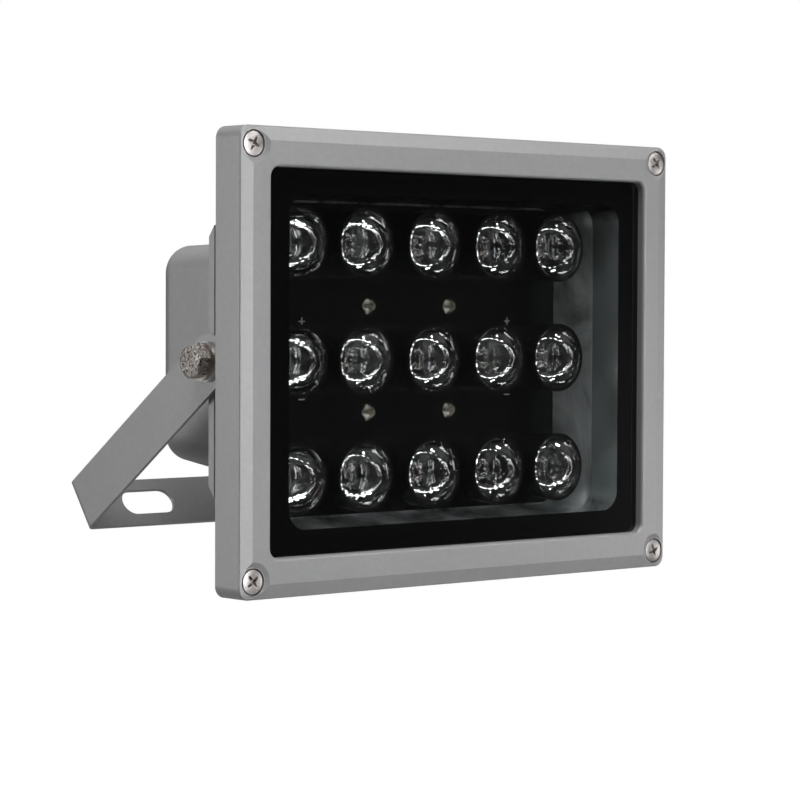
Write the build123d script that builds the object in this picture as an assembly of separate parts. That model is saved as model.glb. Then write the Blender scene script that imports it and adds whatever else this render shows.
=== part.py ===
from build123d import *
import os
from math import cos, radians, sin, tan

# Infrared illuminator: a cast lamp housing that tilts in a bent strip bracket.
# Millimetres, +Z up, the lamp looks along -Y, X runs along its length.
# Origin: centre of the round hole in the bracket's base, on the outer face.
# Lamp pieces are drawn with y = 0 on the frame's front face and z = 0 at the
# pivot, and are moved onto the bracket at the end.

# Front frame
frame_width = 180.0
frame_height = 139.0
frame_depth = 12.3
frame_corner_radius = 3.6
skirt_wall = 2.0
face_side = 11.3
face_top = 11.9
opening_corner_radius = 3.0
opening_edge_radius = 1.0
lip_depth = 2.8
band_width = 4.3
band_drop = 1.0
band_edge_radius = 0.5

# Frame screws, sunk in the four corners
frame_screw_side = 5.0
frame_screw_top = 5.4
frame_screw_radius = 1.75
frame_screw_length = 8.0
frame_head_radius = 3.7
frame_head_height = 2.0
frame_head_sink = 0.5
corner_notch_radius = 5.8
corner_notch_floor = 4.4
corner_notch_drop = 0.6
corner_pad_radius = 4.7
corner_pad_depth = 5.4

# Glass and its seal
glass_lap = 3.5
glass_thickness = 4.0
glass_corner_radius = 8.0
border_side = 12.4
border_top = 11.2
window_corner_radius = 6.5
border_thickness = 0.2
gasket_thickness = 2.2
gasket_band = 4.0
glass_rib_wall = 1.4
glass_rib_height = 3.2

# Reflector tray: how far its walls step in from lip to mouth, to fold, to floor
tray_lip_side = 1.4
tray_lip_top = 3.3
tray_fold_side = 1.5
tray_fold_top = 2.2
tray_fold_depth = 21.8
tray_wall_side = 7.8
tray_wall_top = 2.0
tray_corner_radius = 8.0
tray_sheet = 0.8

# Lamp board and its screws
board_margin_side = 2.1
board_margin_top = 0.8
board_thickness = 1.6
board_front = 30.3
board_corner_radius = 5.0
board_screw_x = 17.1
board_screw_z = 16.7
board_screw_radius = 1.5
board_screw_length = 4.6
board_head_radius = 2.8
board_head_height = 1.9
wire_hole_radius = 4.0
wire_hole_z = 26.0

# Beam lenses in their holders, over the emitters
lens_margin_side = 10.1
lens_margin_top = 12.6
lens_outer_pitch = 26.7
lens_radius = 10.2
lens_rim_thickness = 1.2
lens_height = 12.7
lens_body_radius = 9.2
lens_foot_radius = 4.4
lens_bore_radius = 3.2
lens_bore_depth = 3.6
lens_well_radius = 4.4
lens_well_depth = 3.2
holder_wall = 0.9
holder_taper = 0.7
holder_step = 0.5
emitter_side = 7.0
emitter_base = 1.0
emitter_dome_radius = 2.4

# Housing
rim_thickness = 3.0
lug_radius = 4.4
housing_wall = 2.5
floor_thickness = 3.1
ear_inset = 8.5
ear_margin_top = 8.5
ear_lead = 0.1
ear_thickness = 2.6
ear_end_slope = 3.5
pivot_setback = 11.7
pivot_boss_radius = 7.5
pivot_pad_height = 0.9
pivot_thread_depth = 4.5
rib_count = 9
rib_pitch = 12.0
rib_thickness = 2.0
rib_height = 9.0
rib_end_slope = 3.5
rib_overhang = 2.2

# Rear cover over the driver
cover_margin_side = 1.2
cover_margin_top = 13.1
cover_depth = 37.0
cover_wall = 2.5
cover_corner_radius = 8.0
cover_back_radius = 9.0
cover_edge_radius = 6.5
cover_draft = 1.2
cover_under_draft = 7.0
cover_seal_thickness = 1.0
cover_screw_side = 12.0
cover_screw_top = 14.0
cover_post_radius = 4.2
cover_boss_height = 8.0
cover_screw_radius = 1.75
cover_screw_bite = 9.0
cover_head_radius = 3.4
cover_head_height = 2.4
cover_head_sink = 0.8

# Driver inside the cover
driver_margin_side = 22.0
driver_margin_top = 14.0
driver_thickness = 1.6
driver_standoff = 4.0
driver_post_radius = 3.0
driver_screw_inset = 4.0
driver_screw_radius = 1.25
driver_screw_length = 5.0
driver_head_radius = 2.4
driver_head_height = 1.6
choke_radius = 8.0
choke_height = 9.0
capacitor_radius = 5.0
capacitor_height = 16.0
terminal_width = 20.0
terminal_height = 10.0
terminal_depth = 11.0
terminal_side = 16.0
terminal_count = 4
driver_part_gap = 7.0

# Cable gland under the cover
gland_setback = 20.2
gland_pad_radius = 10.5
gland_pad_drop = 1.0
gland_pad_thickness = 7.4
gland_thread_radius = 6.2
gland_thread_length = 12.0
gland_hex = 18.0
gland_flange = 4.5
gland_neck_radius = 6.8
gland_neck_length = 7.0
gland_wall = 1.1
gland_cap_hex = 17.0
gland_cap_length = 11.0
gland_cap_start = 1.0
gland_cap_round = 2.2
gland_cable_radius = 3.1
gland_nut_thickness = 3.0

# Bracket, one bent strip
strip_width = 16.8
strip_thickness = 1.2
bend_radius = 1.2
arm_length = 82.0
bracket_tilt = 35.2
base_hole_radius = 4.25
slot_length = 20.0
slot_width = 8.8
slot_inset = 25.7

# Pivot bolts and washers
bolt_radius = 3.0
bolt_hex = 9.0
bolt_hex_turn = 46.0
bolt_head_height = 4.0
bolt_head_bevel = 0.6
bolt_face_radius = 4.1
flat_washer_radius = 6.0
flat_washer_thickness = 1.5
spring_washer_radius = 5.6
spring_washer_thickness = 1.7
spring_washer_slit = 0.9
spring_washer_lean = 25.0

# Clearances
play = 0.05
arm_play = 0.1
seat_gap = 0.3
screw_gap = 0.15
head_gap = 0.4
cross_width = 0.9
cross_share = 0.62

# Sizes that follow from the frame inwards
opening_width = frame_width - 2 * face_side
opening_height = frame_height - 2 * face_top
frame_screw_x = frame_width / 2 - frame_screw_side
frame_screw_z = frame_height / 2 - frame_screw_top
glass_width = opening_width + 2 * glass_lap
glass_height = opening_height + 2 * glass_lap
window_width = glass_width - 2 * border_side
window_height = glass_height - 2 * border_top
tray_lip_width = glass_width - 2 * gasket_band - 2 * seat_gap
tray_lip_height = glass_height - 2 * gasket_band - 2 * seat_gap
tray_mouth_width = tray_lip_width - 2 * tray_lip_side
tray_mouth_height = tray_lip_height - 2 * tray_lip_top
tray_fold_width = tray_mouth_width - 2 * tray_fold_side
tray_fold_height = tray_mouth_height - 2 * tray_fold_top
tray_floor_width = tray_fold_width - 2 * tray_wall_side
tray_floor_height = tray_fold_height - 2 * tray_wall_top
board_width = tray_floor_width - 2 * board_margin_side
board_height = tray_floor_height - 2 * board_margin_top
lens_outer_x = board_width / 2 - lens_margin_side
lens_least_pitch = 2 * (lens_radius + holder_wall) + seat_gap
lens_row_z = board_height / 2 - lens_margin_top
cover_width = tray_floor_width - 2 * cover_margin_side
cover_height = tray_floor_height - 2 * cover_margin_top
cover_screw_x = cover_width / 2 - cover_screw_side
cover_screw_z = cover_height / 2 - cover_screw_top
driver_width = cover_width - 2 * driver_margin_side
driver_height = cover_height - 2 * driver_margin_top
driver_screw_x = driver_width / 2 - driver_screw_inset
driver_screw_z = driver_height / 2 - driver_screw_inset
terminal_x = driver_width / 2 - terminal_side
capacitor_x = terminal_x - terminal_width / 2 - driver_part_gap - capacitor_radius
choke_x = capacitor_x - capacitor_radius - driver_part_gap - choke_radius
ear_reach = frame_width / 2 - ear_inset
ear_half_height = tray_floor_height / 2 - ear_margin_top
rib_reach = tray_floor_height / 2 + rib_overhang

# Places that follow from the sizes above
pivot_depth = frame_depth + pivot_setback
ear_front = pivot_depth - ear_lead
border_front = lip_depth
glass_front = border_front + border_thickness
glass_back = glass_front + glass_thickness
rim_front = glass_back + gasket_thickness
rim_back = rim_front + rim_thickness
rim_width = frame_width - 2 * skirt_wall - 2 * seat_gap
rim_height = frame_height - 2 * skirt_wall - 2 * seat_gap
rim_corner_radius = frame_corner_radius - skirt_wall
tray_front = rim_front - tray_sheet
tray_floor = board_front + board_thickness
floor_front = tray_floor + tray_sheet
floor_back = floor_front + floor_thickness
frame_head_seat = frame_head_sink + frame_head_height
lens_front = board_front - lens_height
lens_foot = board_front - emitter_base - play
# Columns on one side, as many as the board has room for beside the middle one.
lens_side = [x for x in (lens_outer_x - lens_outer_pitch, lens_outer_x) if x > lens_least_pitch]
lens_columns = [-x for x in reversed(lens_side)] + [0.0] + lens_side
lens_rows = (lens_row_z, 0.0, -lens_row_z)
cover_front = floor_back + cover_seal_thickness
cover_back = cover_front + cover_depth
cover_head_seat = cover_back - cover_head_sink - cover_head_height
driver_front = floor_back + driver_standoff
driver_back = driver_front + driver_thickness
gland_depth = floor_back + gland_setback
gland_seat = -cover_height / 2 - gland_pad_drop
gland_flange_end = gland_seat - gland_flange
gland_cap_top = gland_flange_end - gland_cap_start
boss_reach = ear_reach + pivot_pad_height
arm_inner = boss_reach + arm_play
arm_outer = arm_inner + strip_thickness
slot_x = arm_inner - slot_inset
flat_washer_seat = arm_outer + play
spring_washer_seat = flat_washer_seat + flat_washer_thickness
bolt_head_seat = spring_washer_seat + spring_washer_thickness
slope = radians(bracket_tilt)


def slab(sketch, front, back):
    # A sketch drawn over X and Z, thickened from y = front to y = back.
    return extrude(Plane.XZ.offset(-back) * sketch, amount=back - front)


def rod(x, z, radius, front, back):
    return Pos(x, 0, z) * slab(Circle(radius), front, back)


def pillar(y, radius, low, high):
    # A round bar that stands along Z in the plane x = 0.
    return Pos(0, y, low) * extrude(Circle(radius), amount=high - low)


def cross_bar(y, z, sketch, start, end):
    # A sketch drawn over Y and Z, thickened from x = start to x = end.
    return Pos(start, y, z) * extrude(Plane.YZ * sketch, amount=end - start)


def corners(x, z):
    return [(i * x, j * z) for i in (-1, 1) for j in (-1, 1)]


def ring(width, height, radius, band):
    outer = RectangleRounded(width, height, radius)
    return outer - RectangleRounded(width - 2 * band, height - 2 * band, radius - band / 2)


def hexagon(across_flats):
    return RegularPolygon(across_flats / 2, 6, major_radius=False)


def turned(*points):
    # A closed outline of (radius, y) points turned about the Y axis.
    return revolve(make_face(Polyline(*points, close=True)), Axis.Y)


def edges_at(solid, y, width, height):
    # Edges in the plane of one y that stay within a width and a height.
    found = []
    for edge in solid.edges():
        box = edge.bounding_box()
        flat = abs(box.min.Y - y) < 1e-3 and abs(box.max.Y - y) < 1e-3
        within = box.max.X < width / 2 + 1e-3 and box.max.Z < height / 2 + 1e-3
        if flat and within and box.min.X > -width / 2 - 1e-3 and box.min.Z > -height / 2 - 1e-3:
            found.append(edge)
    return found


def drafted(stations):
    # A form through (y, width, height, corner radius, rise) stations, straight between.
    faces = [
        Plane.XZ.offset(-y) * Pos(0, rise) * RectangleRounded(width, height, radius)
        for y, width, height, radius, rise in stations
    ]
    form = loft(faces[:2], ruled=True)
    for near, far in zip(faces[1:], faces[2:]):
        form += loft([near, far], ruled=True)
    return form


def tray_form(grow, front, back):
    # The reflector's hollow from front to back, grown outwards by grow.
    return drafted(
        [
            (front, tray_mouth_width + 2 * grow, tray_mouth_height + 2 * grow,
             tray_corner_radius + 2 + grow, 0),
            (tray_fold_depth, tray_fold_width + 2 * grow, tray_fold_height + 2 * grow,
             tray_corner_radius + 1 + grow, 0),
            (back, tray_floor_width + 2 * grow, tray_floor_height + 2 * grow,
             tray_corner_radius + grow, 0),
        ]
    )


def pan_screw(x, z, head_front, head_radius, head_height, radius, length):
    # A cross-head screw driven along +Y, its head's top at y = head_front.
    seat = head_front + head_height
    crown = head_radius * 0.72
    screw = turned(
        (0, head_front),
        (crown, head_front),
        (head_radius, head_front + head_height * 0.45),
        (head_radius, seat),
        (radius, seat),
        (radius, seat + length - radius / 2),
        (radius / 2, seat + length),
        (0, seat + length),
    )
    bar = Rectangle(2 * head_radius * cross_share, cross_width)
    cross = Rot(0, 0, 45) * (bar + Rot(0, 0, 90) * bar)
    screw -= slab(cross, head_front - 1, head_front + head_height * 0.6)
    return Pos(x, 0, z) * screw


def make_front_frame():
    outline = RectangleRounded(frame_width, frame_height, frame_corner_radius)
    raised_width = frame_width - 2 * band_width
    raised_height = frame_height - 2 * band_width
    raised = RectangleRounded(raised_width, raised_height, frame_corner_radius / 2)
    frame = slab(outline, band_drop, frame_depth)
    frame += loft([Plane.XZ.offset(-band_drop) * outline, Plane.XZ * raised], ruled=True)
    frame = fillet(edges_at(frame, band_drop, frame_width, frame_height), band_edge_radius)
    # The raised face is notched round each corner screw, with sloping sides.
    steepness = (corner_notch_radius - corner_notch_floor) / corner_notch_drop
    notch = turned(
        (0, -1),
        (corner_notch_radius + steepness, -1),
        (corner_notch_floor, corner_notch_drop),
        (0, corner_notch_drop),
    )
    for x, z in corners(frame_screw_x, frame_screw_z):
        frame -= Pos(x, 0, z) * notch
    opening = RectangleRounded(opening_width, opening_height, opening_corner_radius)
    frame -= slab(opening, -1, frame_depth)
    frame = fillet(edges_at(frame, 0, opening_width, opening_height), opening_edge_radius)
    inside = RectangleRounded(
        frame_width - 2 * skirt_wall, frame_height - 2 * skirt_wall, rim_corner_radius
    )
    frame -= slab(inside, lip_depth, frame_depth + 1)
    # A low rib locates the glass, and a pad under each screw meets the housing.
    rib_width = glass_width + 2 * head_gap + 2 * glass_rib_wall
    rib_height_over = glass_height + 2 * head_gap + 2 * glass_rib_wall
    rib_corner = glass_corner_radius + head_gap + glass_rib_wall
    rib = ring(rib_width, rib_height_over, rib_corner, glass_rib_wall)
    frame += slab(rib, lip_depth, lip_depth + glass_rib_height)
    for x, z in corners(frame_screw_x, frame_screw_z):
        frame += rod(x, z, corner_pad_radius, lip_depth, corner_pad_depth)
        frame -= rod(x, z, frame_head_radius + head_gap, -1, frame_head_seat)
        frame -= rod(x, z, frame_screw_radius + screw_gap, -1, frame_depth)
    return frame


def make_frame_screws():
    return [
        pan_screw(x, z, frame_head_sink, frame_head_radius, frame_head_height,
                  frame_screw_radius, frame_screw_length)
        for x, z in corners(frame_screw_x, frame_screw_z)
    ]


def make_glass_pane():
    outline = RectangleRounded(glass_width, glass_height, glass_corner_radius)
    return slab(outline, glass_front, glass_back)


def make_glass_border():
    outline = RectangleRounded(glass_width, glass_height, glass_corner_radius)
    window = RectangleRounded(window_width, window_height, window_corner_radius)
    return slab(outline - window, border_front, glass_front)


def make_glass_gasket():
    band = ring(glass_width, glass_height, glass_corner_radius, gasket_band)
    return slab(band, glass_back, rim_front)


def make_reflector_tray():
    lip = RectangleRounded(tray_lip_width, tray_lip_height, tray_corner_radius + 2)
    tray = slab(lip, tray_front, rim_front)
    tray += tray_form(tray_sheet, tray_front, floor_front)
    tray -= tray_form(0, tray_front, tray_floor)
    for x, z in corners(board_screw_x, board_screw_z):
        tray -= rod(x, z, board_screw_radius + screw_gap, tray_front, floor_front + 1)
    tray -= rod(0, wire_hole_z, wire_hole_radius, tray_front, floor_front + 1)
    return tray


def make_led_board():
    outline = RectangleRounded(board_width, board_height, board_corner_radius)
    board = slab(outline, board_front, tray_floor)
    for x, z in corners(board_screw_x, board_screw_z):
        board -= rod(x, z, board_screw_radius + screw_gap, board_front - 1, tray_floor + 1)
    return board


def make_board_screws():
    return [
        pan_screw(x, z, board_front - board_head_height, board_head_radius,
                  board_head_height, board_screw_radius, board_screw_length)
        for x, z in corners(board_screw_x, board_screw_z)
    ]


def make_lens():
    # Collimator: a front well, a rim that seats in the holder, a bowl and a rear bore.
    rim_back_y = lens_front + lens_rim_thickness
    well_floor = lens_front + lens_well_depth
    bore_top = lens_foot - lens_bore_depth
    bowl_radius = (lens_body_radius + lens_foot_radius) / 2 + 1.2
    bowl_depth = (rim_back_y + lens_foot) / 2
    outline = Polyline(
        (0, well_floor - 0.9),
        (lens_well_radius * 0.5, well_floor - 0.6),
        (lens_well_radius * 0.9, well_floor),
        (lens_well_radius, lens_front),
        (lens_radius, lens_front),
        (lens_radius, rim_back_y),
        (lens_body_radius, rim_back_y),
    )
    bowl = ThreePointArc(
        (lens_body_radius, rim_back_y), (bowl_radius, bowl_depth), (lens_foot_radius, lens_foot)
    )
    bore = Polyline(
        (lens_foot_radius, lens_foot),
        (lens_bore_radius, lens_foot),
        (lens_bore_radius * 0.94, bore_top + 0.8),
        (0, bore_top),
        (0, well_floor - 0.9),
    )
    return revolve(make_face(Curve() + [outline, bowl, bore]), Axis.Y)


def make_holder():
    seat_radius = lens_radius + play
    top_radius = seat_radius + holder_wall
    foot_radius = top_radius - holder_taper
    seat = lens_front + lens_rim_thickness
    return turned(
        (seat_radius, lens_front + play),
        (top_radius, lens_front + play),
        (foot_radius, board_front),
        (foot_radius - holder_wall, board_front),
        (seat_radius - holder_step, seat),
        (seat_radius, seat),
    )


def make_emitter():
    base = slab(RectangleRounded(emitter_side, emitter_side, 0.6),
                board_front - emitter_base, board_front)
    dome_base = board_front - emitter_base
    dome = turned(
        (0, dome_base),
        (emitter_dome_radius, dome_base),
        (emitter_dome_radius * 0.87, dome_base - emitter_dome_radius * 0.5),
        (emitter_dome_radius * 0.5, dome_base - emitter_dome_radius * 0.87),
        (0, dome_base - emitter_dome_radius),
    )
    return base + dome


def make_ear(side):
    # A flat rib with sloping ends, and a round boss for the pivot bolt.
    half = ear_half_height
    low = half - ear_end_slope
    profile = make_face(
        Polyline((ear_front, -half), (ear_front, half), (ear_front + ear_thickness, low),
                 (ear_front + ear_thickness, -low), close=True)
    )
    root = tray_floor_width / 2
    rib = cross_bar(0, 0, profile, root, ear_reach)
    boss = cross_bar(pivot_depth, 0, Circle(pivot_boss_radius), root, boss_reach)
    ear = rib + boss
    return ear if side > 0 else mirror(ear, Plane.YZ)


def make_housing():
    rim_outline = RectangleRounded(rim_width, rim_height, rim_corner_radius)
    housing = slab(rim_outline, rim_front, rim_back)
    for x, z in corners(frame_screw_x, frame_screw_z):
        lug = rod(x, z, lug_radius, corner_pad_depth, rim_back)
        housing += lug & slab(rim_outline, corner_pad_depth, rim_back)
    housing += tray_form(tray_sheet + seat_gap + housing_wall, rim_front, floor_back)
    for side in (-1, 1):
        housing += make_ear(side)
    housing -= tray_form(tray_sheet + seat_gap, rim_front, floor_front)
    housing -= slab(
        RectangleRounded(tray_mouth_width + 2 * tray_sheet + 2 * seat_gap,
                         tray_mouth_height + 2 * tray_sheet + 2 * seat_gap,
                         tray_corner_radius + 2),
        rim_front - 1, rim_front)
    housing += make_cooling_ribs()
    # Bosses for the cover screws and posts for the driver stand on the back.
    for x, z in corners(cover_screw_x, cover_screw_z):
        housing += rod(x, z, cover_post_radius, floor_back, floor_back + cover_boss_height)
        housing -= rod(x, z, cover_screw_radius + play, floor_back + cover_boss_height
                       - cover_screw_bite - seat_gap, floor_back + cover_boss_height)
    for x, z in corners(driver_screw_x, driver_screw_z):
        housing += rod(x, z, driver_post_radius, floor_back, driver_front)
        housing -= rod(x, z, driver_screw_radius + play,
                       driver_back - driver_screw_length - seat_gap, driver_front)
    for x, z in corners(frame_screw_x, frame_screw_z):
        housing -= rod(x, z, frame_screw_radius + play, corner_pad_depth,
                       frame_head_seat + frame_screw_length + seat_gap)
    for x, z in corners(board_screw_x, board_screw_z):
        housing -= rod(x, z, board_screw_radius + play, floor_front,
                       board_front + board_screw_length + seat_gap)
    housing -= rod(0, wire_hole_z, wire_hole_radius, floor_front - 1, floor_back + 1)
    thread = cross_bar(pivot_depth, 0, Circle(bolt_radius + play),
                       ear_reach - pivot_thread_depth, boss_reach + 1)
    return housing - thread - mirror(thread, Plane.YZ)


def make_cooling_ribs():
    # Upright ribs above and below the cover, sloping at both ends.
    base_low = cover_height / 2 + rib_thickness
    profile = make_face(
        Polyline((floor_back, base_low), (floor_back + rib_height, base_low + rib_thickness),
                 (floor_back + rib_height, rib_reach - rib_end_slope),
                 (floor_back, rib_reach), close=True)
    )
    ribs = []
    for i in range(rib_count):
        x = (i - (rib_count - 1) / 2) * rib_pitch
        rib = cross_bar(0, 0, profile, x - rib_thickness / 2, x + rib_thickness / 2)
        ribs += [rib, mirror(rib, Plane.XY)]
    return ribs


def make_rear_cover():
    # Its underside slopes more than the other sides, so the back is a little higher.
    draft = cover_depth * tan(radians(cover_draft))
    under = cover_depth * tan(radians(cover_under_draft))
    back_width = cover_width - 2 * draft
    back_height = cover_height - draft - under
    rise = (under - draft) / 2
    wall = 2 * cover_wall
    shell = drafted(
        [
            (cover_front, cover_width, cover_height, cover_corner_radius, 0),
            (cover_back, back_width, back_height, cover_back_radius, rise),
        ]
    )
    shell = fillet(edges_at(shell, cover_back, cover_width, cover_height), cover_edge_radius)
    hollow = drafted(
        [
            (cover_front, cover_width - wall, cover_height - wall,
             cover_corner_radius - cover_wall, 0),
            (cover_back - cover_wall, back_width - wall, back_height - wall,
             cover_back_radius - cover_wall, rise),
        ]
    )
    floor_edges = edges_at(hollow, cover_back - cover_wall, cover_width, cover_height)
    hollow = fillet(floor_edges, cover_edge_radius - cover_wall)
    cover = shell - hollow
    for x, z in corners(cover_screw_x, cover_screw_z):
        cover += rod(x, z, cover_post_radius, floor_back + cover_boss_height,
                     cover_back - cover_wall)
        cover -= rod(x, z, cover_screw_radius + screw_gap, cover_front, cover_back + 1)
        cover -= rod(x, z, cover_head_radius + head_gap, cover_head_seat, cover_back + 1)
    pad_top = gland_seat + gland_pad_thickness
    cover += pillar(gland_depth, gland_pad_radius, gland_seat, pad_top)
    return cover - pillar(gland_depth, gland_thread_radius + play, gland_seat - 1, pad_top + 1)


def make_cover_gasket():
    band = ring(cover_width - 2 * seat_gap, cover_height - 2 * seat_gap,
                cover_corner_radius - seat_gap, cover_wall)
    return slab(band, floor_back, cover_front)


def make_cover_screws():
    screws = []
    length = cover_head_seat - floor_back - cover_boss_height + cover_screw_bite
    for x, z in corners(cover_screw_x, cover_screw_z):
        screw = pan_screw(0, 0, 0, cover_head_radius, cover_head_height,
                          cover_screw_radius, length)
        screws.append(Pos(x, cover_head_seat + cover_head_height, z) * Rot(180, 0, 0) * screw)
    return screws


def make_driver_board():
    board = slab(RectangleRounded(driver_width, driver_height, 2), driver_front, driver_back)
    for x, z in corners(driver_screw_x, driver_screw_z):
        board -= rod(x, z, driver_screw_radius + screw_gap, driver_front - 1, driver_back + 1)
    return board


def make_driver_screws():
    screws = []
    for x, z in corners(driver_screw_x, driver_screw_z):
        screw = pan_screw(0, 0, 0, driver_head_radius, driver_head_height,
                          driver_screw_radius, driver_screw_length)
        screws.append(Pos(x, driver_back + driver_head_height, z) * Rot(180, 0, 0) * screw)
    return screws


def make_driver_choke():
    flange = choke_height / 6
    waist = choke_radius * 0.8
    top = driver_back + choke_height
    drum = turned(
        (0, driver_back),
        (choke_radius, driver_back),
        (choke_radius, driver_back + flange),
        (waist, driver_back + flange),
        (waist, top - flange),
        (choke_radius, top - flange),
        (choke_radius, top),
        (0, top),
    )
    return Pos(choke_x, 0, 0) * drum


def make_driver_capacitor():
    top = driver_back + capacitor_height
    lip = capacitor_radius * 0.12
    can = turned(
        (0, driver_back),
        (capacitor_radius, driver_back),
        (capacitor_radius, driver_back + 2 * lip),
        (capacitor_radius - lip, driver_back + 3 * lip),
        (capacitor_radius, driver_back + 4 * lip),
        (capacitor_radius, top - lip),
        (capacitor_radius - lip, top),
        (0, top),
    )
    return Pos(capacitor_x, 0, 0) * can


def make_terminal_block():
    block = Pos(terminal_x, 0, 0) * slab(
        Rectangle(terminal_width, terminal_height), driver_back, driver_back + terminal_depth)
    pitch = terminal_width / terminal_count
    mid = driver_back + terminal_depth * 0.4
    for i in range(terminal_count):
        x = terminal_x + (i - (terminal_count - 1) / 2) * pitch
        wire_way = Pos(x, mid, -terminal_height / 2) * extrude(
            Rectangle(pitch * 0.6, pitch * 0.6), amount=terminal_height * 0.7)
        block -= wire_way
        block -= rod(x, 0, pitch * 0.3, driver_back + terminal_depth * 0.7,
                     driver_back + terminal_depth + 1)
    return block


def make_gland_body():
    inner = gland_neck_radius - gland_wall
    thread_top = gland_seat + gland_thread_length
    neck_end = gland_flange_end - gland_neck_length
    hexed = Pos(0, gland_depth, gland_flange_end) * extrude(
        hexagon(gland_hex), amount=gland_flange)
    body = hexed + pillar(gland_depth, gland_thread_radius, gland_seat, thread_top)
    body += pillar(gland_depth, gland_neck_radius, neck_end, gland_flange_end)
    body -= pillar(gland_depth, gland_thread_radius - gland_wall, neck_end, thread_top + 1)
    return body - pillar(gland_depth, inner, neck_end - 1, gland_flange_end)


def make_gland_seal():
    outer = gland_neck_radius - gland_wall - play
    neck_end = gland_flange_end - gland_neck_length
    seal = pillar(gland_depth, outer, neck_end, gland_flange_end)
    return seal - pillar(gland_depth, gland_cable_radius, neck_end - 1, gland_flange_end + 1)


def make_gland_cap():
    neck_end = gland_flange_end - gland_neck_length
    cap_end = gland_cap_top - gland_cap_length
    corner = gland_cap_hex / 2 / cos(radians(30))
    skin = revolve(
        make_face(
            Polyline((0, gland_cap_top), (corner, gland_cap_top),
                     (corner, cap_end + 2 * gland_cap_round),
                     (corner - gland_cap_round / 2, cap_end + gland_cap_round / 2),
                     (corner - 2 * gland_cap_round, cap_end), (0, cap_end), close=True)
        ),
        Axis.Y,
    )
    skin = Pos(0, gland_depth, 0) * Rot(90, 0, 0) * skin
    prism = Pos(0, gland_depth, cap_end) * extrude(
        hexagon(gland_cap_hex), amount=gland_cap_length)
    cap = prism & skin
    cap -= pillar(gland_depth, gland_neck_radius + play, neck_end - play, gland_cap_top + 1)
    return cap - pillar(gland_depth, gland_cable_radius + seat_gap, cap_end - 1, gland_cap_top)


def make_gland_nut():
    low = gland_seat + gland_pad_thickness
    nut = Pos(0, gland_depth, low) * extrude(hexagon(gland_cap_hex), amount=gland_nut_thickness)
    return nut - pillar(gland_depth, gland_thread_radius + play, low - 1,
                        low + gland_nut_thickness + 1)


def make_bracket():
    # Drawn flat on its base, arms along -Y, then leant to the lamp's pivot.
    reach = arm_length + strip_width / 2
    outer = Pos(0, -reach / 2) * Rectangle(2 * arm_outer, reach)
    outer = fillet(outer.vertices().group_by(Axis.Y)[-1], bend_radius + strip_thickness)
    inner = Pos(0, -strip_thickness - reach / 2) * Rectangle(2 * arm_inner, reach)
    inner = fillet(inner.vertices().group_by(Axis.Y)[-1], bend_radius)
    strip = extrude(outer - inner, amount=strip_width / 2, both=True)
    side = Pos(-arm_length / 2, 0) * Rectangle(arm_length, strip_width)
    side += Pos(-arm_length, 0) * Circle(strip_width / 2)
    strip &= cross_bar(0, 0, side, -arm_outer, arm_outer)
    strip -= cross_bar(-arm_length, 0, Circle(bolt_radius + play), -arm_outer - 1, arm_outer + 1)
    strip -= rod(0, 0, base_hole_radius, -strip_thickness - 1, 1)
    for side_x in (-slot_x, slot_x):
        slot = SlotOverall(slot_length, slot_width)
        strip -= Pos(side_x, 0, 0) * slab(slot, -strip_thickness - 1, 1)
    return Rot(-bracket_tilt, 0, 0) * strip


def make_pivot_bolt():
    head_end = bolt_head_seat + bolt_head_height
    shank_end = ear_reach - pivot_thread_depth + seat_gap
    corner = bolt_hex / 2 / cos(radians(30))
    bevel = revolve(
        make_face(
            Polyline((0, bolt_head_seat), (corner, bolt_head_seat),
                     (corner, head_end - bolt_head_bevel), (bolt_face_radius, head_end),
                     (0, head_end), close=True)
        ),
        Axis.Y,
    )
    bevel = Rot(0, 0, -90) * bevel
    outline = Rot(0, 0, bolt_hex_turn) * hexagon(bolt_hex)
    head = cross_bar(0, 0, outline, bolt_head_seat, head_end) & bevel
    bolt = head + cross_bar(0, 0, Circle(bolt_radius), shank_end, bolt_head_seat)
    return Pos(0, pivot_depth, 0) * bolt


def make_flat_washer():
    band = Circle(flat_washer_radius) - Circle(bolt_radius + screw_gap)
    return cross_bar(pivot_depth, 0, band, flat_washer_seat, spring_washer_seat)


def make_spring_washer():
    # A split ring, its slit cut on the slant.
    band = Circle(spring_washer_radius) - Circle(bolt_radius + screw_gap)
    washer = cross_bar(0, 0, band, spring_washer_seat, bolt_head_seat)
    middle = (spring_washer_seat + bolt_head_seat) / 2
    slit = Pos(middle, 0, spring_washer_radius * 0.8) * Rot(0, 0, spring_washer_lean) * Box(
        3 * spring_washer_thickness, spring_washer_slit, spring_washer_radius)
    return Pos(0, pivot_depth, 0) * (washer - slit)


def both_sides(piece):
    return [piece, mirror(piece, Plane.YZ)]


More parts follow.
